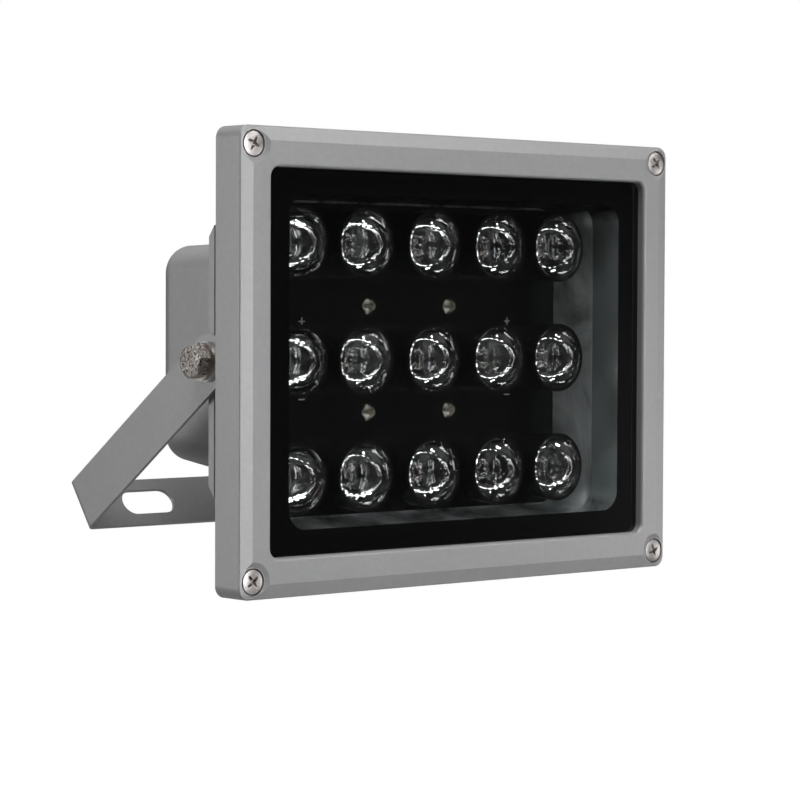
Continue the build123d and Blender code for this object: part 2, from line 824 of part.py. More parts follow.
def main():
    lamp = {
        "front_frame": make_front_frame(),
        "frame_screws": make_frame_screws(),
        "glass_pane": make_glass_pane(),
        "glass_border": make_glass_border(),
        "glass_gasket": make_glass_gasket(),
        "reflector_tray": make_reflector_tray(),
        "led_board": make_led_board(),
        "board_screws": make_board_screws(),
        "housing": make_housing(),
        "rear_cover": make_rear_cover(),
        "cover_gasket": make_cover_gasket(),
        "cover_screws": make_cover_screws(),
        "driver_board": make_driver_board(),
        "driver_screws": make_driver_screws(),
        "driver_choke": make_driver_choke(),
        "driver_capacitor": make_driver_capacitor(),
        "terminal_block": make_terminal_block(),
        "gland_body": make_gland_body(),
        "gland_seal": make_gland_seal(),
        "gland_cap": make_gland_cap(),
        "gland_nut": make_gland_nut(),
        "pivot_bolts": both_sides(make_pivot_bolt()),
        "flat_washers": both_sides(make_flat_washer()),
        "spring_washers": both_sides(make_spring_washer()),
    }
    lens = make_lens()
    holder = make_holder()
    emitter = make_emitter()
    for row, z in enumerate(lens_rows, 1):
        for column, x in enumerate(lens_columns, 1):
            lamp[f"lens_{row}_{column}"] = Pos(x, 0, z) * lens
            lamp[f"lens_holder_{row}_{column}"] = Pos(x, 0, z) * holder
        lamp[f"emitters_row_{row}"] = [Pos(x, 0, z) * emitter for x in lens_columns]
    to_bracket = Pos(0, -arm_length * cos(slope) - pivot_depth, arm_length * sin(slope))
    os.makedirs("parts", exist_ok=True)
    for name, piece in lamp.items():
        shape = Compound(piece) if isinstance(piece, list) else piece
        export_step(to_bracket * shape, f"parts/{name}.step")
    export_step(make_bracket(), "parts/mounting_bracket.step")


main()
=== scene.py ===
from math import atan2, cos, pi, radians, sin

import bmesh
import bpy
from mathutils import Matrix, Vector


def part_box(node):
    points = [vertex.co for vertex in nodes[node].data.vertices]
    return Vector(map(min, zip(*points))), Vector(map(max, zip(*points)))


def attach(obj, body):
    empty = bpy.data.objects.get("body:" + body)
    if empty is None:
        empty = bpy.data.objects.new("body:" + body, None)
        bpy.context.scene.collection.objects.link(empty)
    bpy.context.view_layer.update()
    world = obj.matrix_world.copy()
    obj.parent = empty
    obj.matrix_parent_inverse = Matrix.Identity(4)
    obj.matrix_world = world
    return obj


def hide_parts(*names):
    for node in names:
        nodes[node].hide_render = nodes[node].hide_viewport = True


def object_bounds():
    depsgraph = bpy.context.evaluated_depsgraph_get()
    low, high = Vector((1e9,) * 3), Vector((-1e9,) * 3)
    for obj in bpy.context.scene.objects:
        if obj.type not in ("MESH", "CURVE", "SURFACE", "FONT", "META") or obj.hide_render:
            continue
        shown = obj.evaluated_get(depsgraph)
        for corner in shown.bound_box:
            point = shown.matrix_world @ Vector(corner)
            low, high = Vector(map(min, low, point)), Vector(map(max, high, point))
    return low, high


# Infrared illuminator: finish, fine shapes, studio and camera.
# Everything is in metres, in the frame's own coordinates.
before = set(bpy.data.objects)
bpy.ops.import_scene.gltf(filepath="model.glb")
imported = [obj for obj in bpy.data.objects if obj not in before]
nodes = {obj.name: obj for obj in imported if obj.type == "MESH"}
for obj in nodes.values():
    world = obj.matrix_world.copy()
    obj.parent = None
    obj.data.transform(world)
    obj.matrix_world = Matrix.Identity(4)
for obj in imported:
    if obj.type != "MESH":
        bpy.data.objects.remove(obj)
cadLow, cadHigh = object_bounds()
scene = bpy.context.scene
mm = 0.001
frameLow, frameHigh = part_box("front_frame")
lampFront = frameLow.y  # the flat front of the cast frame
lampMiddle = (frameLow.z + frameHigh.z) / 2  # height of the lens grid's middle row
print("stage: frame loaded,", len(nodes), "nodes")


# Node shorthand
def reckon(tree, operation, *terms):
    # The result of a math node; each term is a socket or a plain number.
    node = tree.nodes.new("ShaderNodeMath")
    node.operation = operation
    for socket, term in zip(node.inputs, terms):
        if isinstance(term, (int, float)):
            socket.default_value = term
        else:
            tree.links.new(term, socket)
    return node.outputs[0]


def spread(tree, mask, low, high, start=0.0, end=1.0):
    # A value that runs from low to high while the mask runs from start to end.
    node = tree.nodes.new("ShaderNodeMapRange")
    for label, value in (("From Min", start), ("From Max", end), ("To Min", low), ("To Max", high)):
        node.inputs[label].default_value = value
    tree.links.new(mask, node.inputs["Value"])
    return node.outputs[0]


def axes(tree, label):
    # A texture coordinate, split along X, Y and Z.
    place = tree.nodes.new("ShaderNodeTexCoord")
    split = tree.nodes.new("ShaderNodeSeparateXYZ")
    tree.links.new(place.outputs[label], split.inputs[0])
    return split.outputs


# Camera
camera = {
    "place": (-0.60558, -0.65086, 0.01844),  # from the middle of the lamp's front
    "yaw": 41.568,  # degrees from +Y towards +X
    "pitch": -1.993,
    "roll": 0.244,
    "lens": 128.43,
    "sensor": 36.0,
}


def makeCamera():
    yaw, pitch, roll = (radians(camera[k]) for k in ("yaw", "pitch", "roll"))
    forward = Vector((sin(yaw) * cos(pitch), cos(yaw) * cos(pitch), sin(pitch)))
    level = Vector((cos(yaw), -sin(yaw), 0))
    upright = level.cross(forward)
    right = cos(roll) * level + sin(roll) * upright
    up = cos(roll) * upright - sin(roll) * level
    data = bpy.data.cameras.new("camera")
    data.lens = camera["lens"]
    data.sensor_width = camera["sensor"]
    eye = bpy.data.objects.new("camera", data)
    scene.collection.objects.link(eye)
    turn = Matrix((right, up, -forward)).transposed().to_4x4()
    place = Vector(camera["place"]) + Vector((0, lampFront, lampMiddle))
    eye.matrix_world = Matrix.Translation(place) @ turn
    scene.camera = eye


makeCamera()
print("stage: camera")


# Studio: softboxes all round, small lamps for the lenses, a pale floor and a tent
studio = {
    "floorDrop": 0.35,  # below the lamp's lowest point
    "floorSize": 4.0,
    "floorTone": 0.23,
    "floorLift": 0.93,  # how white the floor shows
    "floorGloss": 0.14,  # and how bright it is in reflections
    "skyHigh": 0.75,  # the tent's brightness overhead
    "skyLow": 0.03,  # and at the height of the lamp
    "skyRise": (0.05, 0.85),  # where its brightening starts and ends, 1 being straight up
    "glassPasses": 4.5,  # a ray that has passed glass more often came out of a beam lens
    "skyInLens": 0.12,  # the share of sky and floor seen through the beam lenses
    "lensLampReach": 0.7,  # the small lamps' distance from the middle of the lamp's front
}
softboxes = {
    # name: place, aim, width, height, watts
    "overhead": ((-0.35, -0.45, 1.30), (0, -0.06, 0.05), 1.10, 1.10, 15.5),
    "frontStrip": ((0.42, -1.60, 0.05), (0, -0.08, 0.05), 0.34, 1.10, 10.8),
    "bandGlow": ((1.10, -1.50, 0.78), (0, -0.08, 0.05), 0.40, 0.30, 4.0),
    "sideFill": ((-1.35, 0.75, 0.10), (0, -0.06, 0.04), 0.80, 0.70, 6.7),
    "rightFill": ((1.40, -0.88, -0.12), (0, -0.06, 0.04), 0.50, 0.36, 2.8),
}
lensLamps = {
    # name: degrees from straight ahead towards +X, degrees up, width, height, watts
    "lowerArc": (2, 23, 0.30, 0.34, 38.0),
    "upperArc": (2, -23, 0.30, 0.34, 38.0),
    "leftHigh": (-55, 8, 0.12, 0.07, 0.8),
    "rightSpotLow": (20, 10, 0.08, 0.08, 2.4),
    "rightSpotHigh": (20, -10, 0.08, 0.08, 2.4),
}


def newSoftbox(name, place, aim, width, height, watts):
    data = bpy.data.lights.new(name, "AREA")
    data.shape = "RECTANGLE"
    data.size = width
    data.size_y = height
    data.energy = watts
    lamp = bpy.data.objects.new(name, data)
    scene.collection.objects.link(lamp)
    lamp.location = place
    look = Vector(aim) - Vector(place)
    lamp.rotation_euler = look.to_track_quat("-Z", "Y").to_euler()
    return lamp


def lensView(tree):
    # The ray's path, and one where it comes out of a beam lens.
    path = tree.nodes.new("ShaderNodeLightPath")
    passes = path.outputs["Transmission Depth"]
    return path, reckon(tree, "GREATER_THAN", passes, studio["glassPasses"])


def straightView(tree):
    # Also one where the camera looks, through clear glass too, before any bounce or lens.
    path, lensed = lensView(tree)
    bounces = reckon(tree, "ADD", path.outputs["Diffuse Depth"], path.outputs["Glossy Depth"])
    turns = reckon(tree, "ADD", bounces, lensed)
    fresh = reckon(tree, "LESS_THAN", turns, 0.5)
    through = reckon(tree, "MULTIPLY", path.outputs["Is Transmission Ray"], fresh)
    return path, reckon(tree, "MAXIMUM", path.outputs["Is Camera Ray"], through), lensed


def makeSoftboxes():
    # The big ones light the lamp; the small ones are only seen in the beam lenses.
    for name, sizes in softboxes.items():
        newSoftbox(name, *sizes).visible_transmission = False
    middle = Vector((0, lampFront, lampMiddle))
    for name, (ahead, rise, width, height, watts) in lensLamps.items():
        ahead, rise = radians(ahead), radians(rise)
        aside = Vector((sin(ahead) * cos(rise), -cos(ahead) * cos(rise), sin(rise)))
        place = middle + studio["lensLampReach"] * aside
        lamp = newSoftbox(name, place, middle, width, height, watts)
        lamp.visible_diffuse = False
        lamp.visible_glossy = False
        lamp.data.use_nodes = True
        tree = lamp.data.node_tree
        tree.links.new(lensView(tree)[1], tree.nodes["Emission"].inputs["Strength"])


def makeWorld():
    world = bpy.data.worlds.new("studio")
    scene.world = world
    world.use_nodes = True
    tree = world.node_tree
    tree.nodes.clear()
    height = axes(tree, "Generated")["Z"]
    rise = spread(tree, height, studio["skyLow"], studio["skyHigh"], *studio["skyRise"])
    rise.node.interpolation_type = "SMOOTHSTEP"
    straight, lensed = straightView(tree)[1:]
    dimmed = spread(tree, lensed, 1.0, studio["skyInLens"])
    tent = tree.nodes.new("ShaderNodeBackground")
    tree.links.new(reckon(tree, "MULTIPLY", rise, dimmed), tent.inputs["Strength"])
    white = tree.nodes.new("ShaderNodeBackground")
    white.inputs["Strength"].default_value = 1.0
    white.inputs["Color"].default_value = (1, 1, 1, 1)
    mix = tree.nodes.new("ShaderNodeMixShader")
    tree.links.new(straight, mix.inputs[0])
    tree.links.new(tent.outputs[0], mix.inputs[1])
    tree.links.new(white.outputs[0], mix.inputs[2])
    out = tree.nodes.new("ShaderNodeOutputWorld")
    tree.links.new(mix.outputs[0], out.inputs["Surface"])


def makeFloor():
    half = studio["floorSize"] / 2
    level = cadLow.z - studio["floorDrop"]
    mesh = bpy.data.meshes.new("floor")
    corners = [(x * half, y * half, level) for x, y in ((-1, -1), (1, -1), (1, 1), (-1, 1))]
    mesh.from_pydata(corners, [], [(0, 1, 2, 3)])
    floor = bpy.data.objects.new("floor", mesh)
    scene.collection.objects.link(floor)
    material = bpy.data.materials.new("floor")
    material.use_nodes = True
    tree = material.node_tree
    tree.nodes.clear()
    path, straight, lensed = straightView(tree)
    matt = tree.nodes.new("ShaderNodeBsdfDiffuse")
    tone = spread(tree, lensed, studio["floorTone"], studio["floorTone"] * studio["skyInLens"])
    tree.links.new(tone, matt.inputs["Color"])
    lift = tree.nodes.new("ShaderNodeEmission")
    lift.inputs["Color"].default_value = (1, 1, 1, 1)
    shown = reckon(tree, "MULTIPLY", straight, studio["floorLift"])
    gloss = spread(tree, lensed, studio["floorGloss"], 0.0)
    share = reckon(tree, "MULTIPLY_ADD", path.outputs["Is Glossy Ray"], gloss, shown)
    tree.links.new(share, lift.inputs["Strength"])
    total = tree.nodes.new("ShaderNodeAddShader")
    tree.links.new(matt.outputs[0], total.inputs[0])
    tree.links.new(lift.outputs[0], total.inputs[1])
    clear = tree.nodes.new("ShaderNodeBsdfTransparent")
    side = tree.nodes.new("ShaderNodeNewGeometry")
    below = tree.nodes.new("ShaderNodeMixShader")
    tree.links.new(side.outputs["Backfacing"], below.inputs[0])
    tree.links.new(total.outputs[0], below.inputs[1])
    tree.links.new(clear.outputs[0], below.inputs[2])
    out = tree.nodes.new("ShaderNodeOutputMaterial")
    tree.links.new(below.outputs[0], out.inputs["Surface"])
    mesh.materials.append(material)


makeSoftboxes()
makeWorld()
makeFloor()
scene.view_settings.view_transform = "Standard"
print("stage: studio")


# Shared surface effects
def newGroup(name, inputs, outputs):
    group = bpy.data.node_groups.new(name, "ShaderNodeTree")
    for label, value in inputs.items():
        socket = group.interface.new_socket(label, in_out="INPUT", socket_type="NodeSocketFloat")
        socket.default_value = value
    for label in outputs:
        group.interface.new_socket(label, in_out="OUTPUT", socket_type="NodeSocketFloat")
    start = group.nodes.new("NodeGroupInput")
    end = group.nodes.new("NodeGroupOutput")
    return group, start, end


def noise(group, vector, scale, detail):
    node = group.nodes.new("ShaderNodeTexNoise")
    node.inputs["Detail"].default_value = detail
    group.links.new(vector, node.inputs["Vector"])
    group.links.new(scale, node.inputs["Scale"])
    return node


def makeGrain():
    # Fine granular skin: a height for Bump and a mask for small tone changes.
    group, start, end = newGroup("grain", {"Scale": 1500.0, "Coarse": 0.25}, ("Height", "Mask"))
    place = group.nodes.new("ShaderNodeTexCoord").outputs["Object"]
    scale = start.outputs["Scale"]
    fine = noise(group, place, scale, 3.0).outputs[0]
    coarseScale = reckon(group, "MULTIPLY", scale, start.outputs["Coarse"])
    coarse = noise(group, place, coarseScale, 2.0).outputs[0]
    height = reckon(group, "MULTIPLY_ADD", fine, 0.6, coarse)
    group.links.new(height, end.inputs["Height"])
    group.links.new(coarse, end.inputs["Mask"])
    return group


def makeMottle():
    # Cloudy patches, stretched upwards where Stretch is under one, as a mask.
    group, start, end = newGroup(
        "mottle", {"Scale": 60.0, "Stretch": 1.0, "Contrast": 2.0}, ("Mask",))
    place = group.nodes.new("ShaderNodeTexCoord")
    squeeze = group.nodes.new("ShaderNodeCombineXYZ")
    squeeze.inputs["X"].default_value = 1.0
    squeeze.inputs["Y"].default_value = 1.0
    group.links.new(start.outputs["Stretch"], squeeze.inputs["Z"])
    scaled = group.nodes.new("ShaderNodeVectorMath")
    scaled.operation = "MULTIPLY"
    group.links.new(place.outputs["Object"], scaled.inputs[0])
    group.links.new(squeeze.outputs[0], scaled.inputs[1])
    cloud = noise(group, scaled.outputs[0], start.outputs["Scale"], 6.0)
    cloud.inputs["Roughness"].default_value = 0.6
    cloud.inputs["Distortion"].default_value = 0.6
    centred = reckon(group, "SUBTRACT", cloud.outputs[0], 0.5)
    strong = reckon(group, "MULTIPLY_ADD", centred, start.outputs["Contrast"], 0.5)
    strong.node.use_clamp = True
    group.links.new(strong, end.inputs["Mask"])
    return group


grainGroup = makeGrain()
mottleGroup = makeMottle()


def placeGroup(tree, group, **values):
    node = tree.nodes.new("ShaderNodeGroup")
    node.node_tree = group
    for label, value in values.items():
        node.inputs[label].default_value = value
    return node


def startMaterial(name, color, metallic=0.0, roughness=0.5):
    material = bpy.data.materials.new(name)
    material.use_nodes = True
    shader = material.node_tree.nodes["Principled BSDF"]
    shader.inputs["Base Color"].default_value = (*color, 1)
    shader.inputs["Metallic"].default_value = metallic
    shader.inputs["Roughness"].default_value = roughness
    return material, material.node_tree, shader


def tint(tree, mask, dark, light):
    # A colour that runs from dark to light with the mask; each is a colour or a socket.
    mix = tree.nodes.new("ShaderNodeMix")
    mix.data_type = "RGBA"
    for label, color in (("A", dark), ("B", light)):
        if isinstance(color, tuple):
            mix.inputs[label].default_value = (*color, 1)
        else:
            tree.links.new(color, mix.inputs[label])
    tree.links.new(mask, mix.inputs["Factor"])
    return mix.outputs["Result"]


def blended(tree, first, second, share):
    # A mask made of this share of the first and the rest of the second.
    rest = reckon(tree, "MULTIPLY", second, 1 - share)
    return reckon(tree, "MULTIPLY_ADD", first, share, rest)


def bumped(tree, shader, height, distance):
    bump = tree.nodes.new("ShaderNodeBump")
    bump.inputs["Distance"].default_value = distance
    bump.inputs["Strength"].default_value = 1.0
    tree.links.new(height, bump.inputs["Height"])
    tree.links.new(bump.outputs[0], shader.inputs["Normal"])


# Finishes. A pair of colours or numbers is for the dark and the light parts of a mask.
powderCoat = {
    "tone": ((0.265, 0.265, 0.268), (0.335, 0.335, 0.338)),
    "metallic": 0.25,
    "roughness": (0.32, 0.42),
    "grainScale": 1900.0,
    "grainCoarse": 0.3,
    "cloudScale": 26.0,
    "cloudContrast": 1.2,
    "cloudShare": 0.35,  # the rest of the tone's mask is grain
    "bump": 0.02 * mm,
}


def makePowderCoat():
    s = powderCoat
    material, tree, shader = startMaterial("powderCoat", s["tone"][1], s["metallic"])
    grain = placeGroup(tree, grainGroup, Scale=s["grainScale"], Coarse=s["grainCoarse"])
    cloud = placeGroup(tree, mottleGroup, Scale=s["cloudScale"], Contrast=s["cloudContrast"])
    mask = blended(tree, cloud.outputs["Mask"], grain.outputs["Mask"], s["cloudShare"])
    tree.links.new(tint(tree, mask, *s["tone"]), shader.inputs["Base Color"])
    tree.links.new(spread(tree, grain.outputs["Mask"], *s["roughness"]), shader.inputs["Roughness"])
    bumped(tree, shader, grain.outputs["Height"], s["bump"])
    return material


steelSkin = {
    "grainScale": 700.0,
    "grainCoarse": 0.4,
    "roughness": (0.8, 1.3),  # as shares of the finish's own
    "bump": 0.04 * mm,
}


def makeSteel(name, dark, light, roughness):
    s = steelSkin
    material, tree, shader = startMaterial(name, light, 1.0)
    grain = placeGroup(tree, grainGroup, Scale=s["grainScale"], Coarse=s["grainCoarse"])
    tree.links.new(tint(tree, grain.outputs["Mask"], dark, light), shader.inputs["Base Color"])
    smooth, rough = (roughness * share for share in s["roughness"])
    tree.links.new(spread(tree, grain.outputs["Mask"], smooth, rough), shader.inputs["Roughness"])
    bumped(tree, shader, grain.outputs["Height"], s["bump"])
    return material


boltSteel = {
    "bare": ((0.05, 0.048, 0.044), (0.90, 0.88, 0.85)),
    "stained": ((0.05, 0.04, 0.034), (0.64, 0.56, 0.50)),
    "roughness": (0.50, 0.24),
    "pitScale": 1500.0,
    "pitContrast": 3.6,
    "stainScale": 230.0,
    "stainContrast": 2.0,
    "bump": 0.16 * mm,
}


def makePittedSteel():
    # Plated steel with small pits and a brownish stain here and there.
    s = boltSteel
    material, tree, shader = startMaterial("boltSteel", s["bare"][1], 1.0)
    pits = placeGroup(tree, mottleGroup, Scale=s["pitScale"], Contrast=s["pitContrast"])
    stain = placeGroup(tree, mottleGroup, Scale=s["stainScale"], Contrast=s["stainContrast"])
    bare, stained = (tint(tree, pits.outputs["Mask"], *s[k]) for k in ("bare", "stained"))
    tree.links.new(tint(tree, stain.outputs["Mask"], bare, stained), shader.inputs["Base Color"])
    tree.links.new(spread(tree, pits.outputs["Mask"], *s["roughness"]), shader.inputs["Roughness"])
    bumped(tree, shader, pits.outputs["Mask"], s["bump"])
    return material


traySheet = {
    "worn": ((0.07, 0.076, 0.08), (0.92, 0.94, 0.95)),
    # a lighter tone painted on the walls that face sideways, as painted light; its patches are the
    # sheet's own mottle
    "sideLitTone": ((0.72, 0.79, 0.82), (0.96, 1.0, 1.0)),
    # the painted shade put on the wall that faces down
    "paintedShade": (0.02, 0.02, 0.021),
    "litEndWall": (0.80, 0.96),  # how far a wall faces sideways, from the worn tone to the painted lighter tone
    "shadedDownWall": (-0.2, -0.6),  # how far a wall faces upwards, from unchanged to painted shade
    "metallic": 0.9,
    "roughness": (0.50, 0.30),
    "cloudScale": 58.0,
    "cloudStretch": 0.45,
    "cloudContrast": 4.2,
    "streakScale": 260.0,
    "streakStretch": 0.08,
    "streakContrast": 1.6,
    "streakShare": 0.35,  # the rest of the tone's mask is cloud
    "bump": 0.15 * mm,
}


def makeTraySheet():
    # Bare sheet with cloudy oxide patches and faint upright streaks. The end walls get a lighter
    # tone as painted light, and the wall that faces down is darkened as painted shade.
    s = traySheet
    material, tree, shader = startMaterial("traySheet", s["worn"][1], s["metallic"])
    cloud, streak = (
        placeGroup(tree, mottleGroup, Scale=s[k + "Scale"], Stretch=s[k + "Stretch"],
                   Contrast=s[k + "Contrast"]).outputs["Mask"]
        for k in ("cloud", "streak"))
    mask = blended(tree, streak, cloud, s["streakShare"])
    facing = axes(tree, "Normal")
    sideways = reckon(tree, "ABSOLUTE", facing["X"])
    # Painted light: walls that face sideways are given the lighter tone.
    litEndWall = spread(tree, sideways, 0.0, 1.0, *s["litEndWall"])
    # Painted shade: the wall that faces down is darkened towards this colour.
    shadedDownWall = spread(tree, facing["Z"], 0.0, 1.0, *s["shadedDownWall"])
    worn, sideLitTone = (tint(tree, mask, *s[k]) for k in ("worn", "sideLitTone"))
    sheet = tint(tree, litEndWall, worn, sideLitTone)
    tree.links.new(tint(tree, shadedDownWall, sheet, s["paintedShade"]), shader.inputs["Base Color"])
    tree.links.new(spread(tree, mask, *s["roughness"]), shader.inputs["Roughness"])
    bumped(tree, shader, cloud, s["bump"])
    return material


lampBoard = {
    "mask": ((0.002, 0.002, 0.002), (0.006, 0.006, 0.0065)),
    "core": (0.6, 0.6, 0.6),
    "edgeFacing": 0.5,  # what faces forward less than this is the cut edge
    "roughness": 0.16,
    "specular": 0.35,
    "grainScale": 1200.0,
    "bump": 0.003 * mm,
}


def makeLampBoard():
    # Black mask on the faces, and the bare aluminium core along the cut edge.
    s = lampBoard
    material, tree, shader = startMaterial("lampBoard", s["mask"][1], 0.0, s["roughness"])
    shader.inputs["Specular IOR Level"].default_value = s["specular"]
    facing = reckon(tree, "ABSOLUTE", axes(tree, "Normal")["Y"])
    edge = reckon(tree, "LESS_THAN", facing, s["edgeFacing"])
    grain = placeGroup(tree, grainGroup, Scale=s["grainScale"])
    black = tint(tree, grain.outputs["Mask"], *s["mask"])
    tree.links.new(tint(tree, edge, black, s["core"]), shader.inputs["Base Color"])
    tree.links.new(edge, shader.inputs["Metallic"])
    bumped(tree, shader, grain.outputs["Height"], s["bump"])
    return material


emitterResin = {
    "chips": ((0.002, 0.002, 0.002), (0.022, 0.019, 0.018)),
    "roughness": 0.14,
    "chipScale": 900.0,
    "chipContrast": 7.0,
    "bump": 0.05 * mm,
}


def makeEmitterResin():
    # Dark resin with chips and bond wires below it, as a fine bright and dark pattern.
    s = emitterResin
    material, tree, shader = startMaterial("emitterResin", s["chips"][1], 0.0, s["roughness"])
    chips = placeGroup(tree, mottleGroup, Scale=s["chipScale"], Contrast=s["chipContrast"])
    tree.links.new(tint(tree, chips.outputs["Mask"], *s["chips"]), shader.inputs["Base Color"])
    bumped(tree, shader, chips.outputs["Mask"], s["bump"])
    return material


plasticSkin = {
    "tone": (0.8, 1.25),  # as shares of the finish's own colour
    "grainScale": 900.0,
    "bump": 0.02 * mm,
}


def makePlastic(name, color, roughness, scale=plasticSkin["grainScale"], depth=plasticSkin["bump"]):
    material, tree, shader = startMaterial(name, color, 0.0, roughness)
    grain = placeGroup(tree, grainGroup, Scale=scale)
    darker, lighter = (tuple(c * share for c in color) for share in plasticSkin["tone"])
    tree.links.new(tint(tree, grain.outputs["Mask"], darker, lighter), shader.inputs["Base Color"])
    bumped(tree, shader, grain.outputs["Height"], depth)
    return material


def makeClear(name, color, ior):
    # Clear glass or acrylic. Shadow rays go straight through, so lamps light what is behind.
    material, tree, shader = startMaterial(name, color, 0.0, 0.0)
    shader.inputs["Transmission Weight"].default_value = 1.0
    shader.inputs["IOR"].default_value = ior
    clear = tree.nodes.new("ShaderNodeBsdfTransparent")
    clear.inputs["Color"].default_value = (*color, 1)
    path = tree.nodes.new("ShaderNodeLightPath")
    mix = tree.nodes.new("ShaderNodeMixShader")
    tree.links.new(path.outputs["Is Shadow Ray"], mix.inputs[0])
    tree.links.new(shader.outputs[0], mix.inputs[1])
    tree.links.new(clear.outputs[0], mix.inputs[2])
    tree.links.new(mix.outputs[0], tree.nodes["Material Output"].inputs["Surface"])
    return material


finishes = {
    # steel: dark, light, roughness; plastic: colour, roughness; clear: colour, index of refraction
    "powderCoat": makePowderCoat(),
    "stainless": makeSteel("stainless", (0.13, 0.12, 0.115), (0.62, 0.585, 0.57), 0.34),
    "boltSteel": makePittedSteel(),
    "washerSteel": makeSteel("washerSteel", (0.46, 0.45, 0.44), (0.80, 0.79, 0.77), 0.20),
    "zincScrew": makeSteel("zincScrew", (0.40, 0.37, 0.29), (1.0, 0.97, 0.86), 0.21),
    "springSteel": makeSteel("springSteel", (0.24, 0.205, 0.175), (0.52, 0.47, 0.43), 0.30),
    "traySheet": makeTraySheet(),
    "lampBoard": makeLampBoard(),
    "blackEnamel": makePlastic("blackEnamel", (0.002, 0.002, 0.0022), 0.10,
                               scale=300.0, depth=0.002 * mm),
    "holderPlastic": makePlastic("holderPlastic", (0.003, 0.003, 0.003), 0.19, depth=0.004 * mm),
    "glandNylon": makePlastic("glandNylon", (0.016, 0.016, 0.017), 0.42),
    "gasketRubber": makePlastic("gasketRubber", (0.16, 0.16, 0.16), 0.62),
    "sealRubber": makePlastic("sealRubber", (0.012, 0.012, 0.012), 0.6),
    "emitterResin": makeEmitterResin(),
    "driverBoard": makePlastic("driverBoard", (0.012, 0.10, 0.035), 0.4),
    "ferrite": makePlastic("ferrite", (0.02, 0.02, 0.02), 0.6),
    "sleeve": makePlastic("sleeve", (0.012, 0.015, 0.04), 0.25),
    "terminalPlastic": makePlastic("terminalPlastic", (0.03, 0.16, 0.06), 0.4),
    "boardInk": makePlastic("boardInk", (0.62, 0.65, 0.68), 0.6),
    "paneGlass": makeClear("paneGlass", (0.96, 0.98, 0.975), 1.5),
    "lensAcrylic": makeClear("lensAcrylic", (0.985, 0.985, 0.985), 1.49),
}
nodeFinish = {
    "front_frame": "powderCoat", "housing": "powderCoat", "rear_cover": "powderCoat",
    "mounting_bracket": "powderCoat", "frame_screws": "stainless", "cover_screws": "stainless",
    "pivot_bolts": "boltSteel", "flat_washers": "washerSteel", "spring_washers": "springSteel",
    "board_screws": "zincScrew", "driver_screws": "zincScrew", "glass_pane": "paneGlass",
    "glass_border": "blackEnamel", "glass_gasket": "gasketRubber", "cover_gasket": "gasketRubber",
    "reflector_tray": "traySheet", "led_board": "lampBoard", "driver_board": "driverBoard",
    "driver_choke": "ferrite", "driver_capacitor": "sleeve", "terminal_block": "terminalPlastic",
    "gland_body": "glandNylon", "gland_cap": "glandNylon", "gland_nut": "glandNylon",
    "gland_seal": "sealRubber",
}


def finishOf(node):
    if node.startswith("lens_holder"):
        return "holderPlastic"
    if node.startswith("lens"):
        return "lensAcrylic"
    if node.startswith("emitters"):
        return "emitterResin"
    return nodeFinish[node]


for node, piece in nodes.items():
    piece.data.materials.clear()
    piece.data.materials.append(finishes[finishOf(node)])
print("stage: finishes,", len(finishes))


# Mesh helpers
def newPiece(name, mesh, finish):
    mesh.materials.clear()
    mesh.materials.append(finishes[finish])
    piece = bpy.data.objects.new(name, mesh)
    scene.collection.objects.link(piece)
    return piece


def turnedMesh(name, profile, steps, depth=None):
    # Turns (radius, y) points about the Y axis. depth(x, z) is how far a point sinks along Y.
    points, rings = [], []
    for radius, y in profile:
        if radius < 1e-9:
            rings.append([len(points)])
            points.append((0, y + (depth(0, 0) if depth else 0), 0))
            continue
        ring = []
        for i in range(steps):
            x, z = radius * cos(2 * pi * i / steps), radius * sin(2 * pi * i / steps)
            ring.append(len(points))
            points.append((x, y + (depth(x, z) if depth else 0), z))
        rings.append(ring)
    faces = []
    for near, far in zip(rings, rings[1:]):
        for i in range(steps):
            j = (i + 1) % steps
            if len(near) == 1:
                faces.append((near[0], far[i], far[j]))
            elif len(far) == 1:
                faces.append((near[i], far[0], near[j]))
            else:
                faces.append((near[i], far[i], far[j], near[j]))
    mesh = bpy.data.meshes.new(name)
    mesh.from_pydata(points, [], faces)
    edit = bmesh.new()
    edit.from_mesh(mesh)
    bmesh.ops.recalc_face_normals(edit, faces=edit.faces)
    edit.to_mesh(mesh)
    edit.free()
    return mesh


def shadeByAngle(mesh, degrees):
    mesh.polygons.foreach_set("use_smooth", [True] * len(mesh.polygons))
    mesh.set_sharp_from_angle(angle=radians(degrees))


def settle(piece):
    # The evaluated result becomes the piece's own plain mesh.
    bpy.context.view_layer.update()
    graph = bpy.context.evaluated_depsgraph_get()
    mesh = bpy.data.meshes.new_from_object(piece.evaluated_get(graph))
    piece.modifiers.clear()
    piece.data = mesh


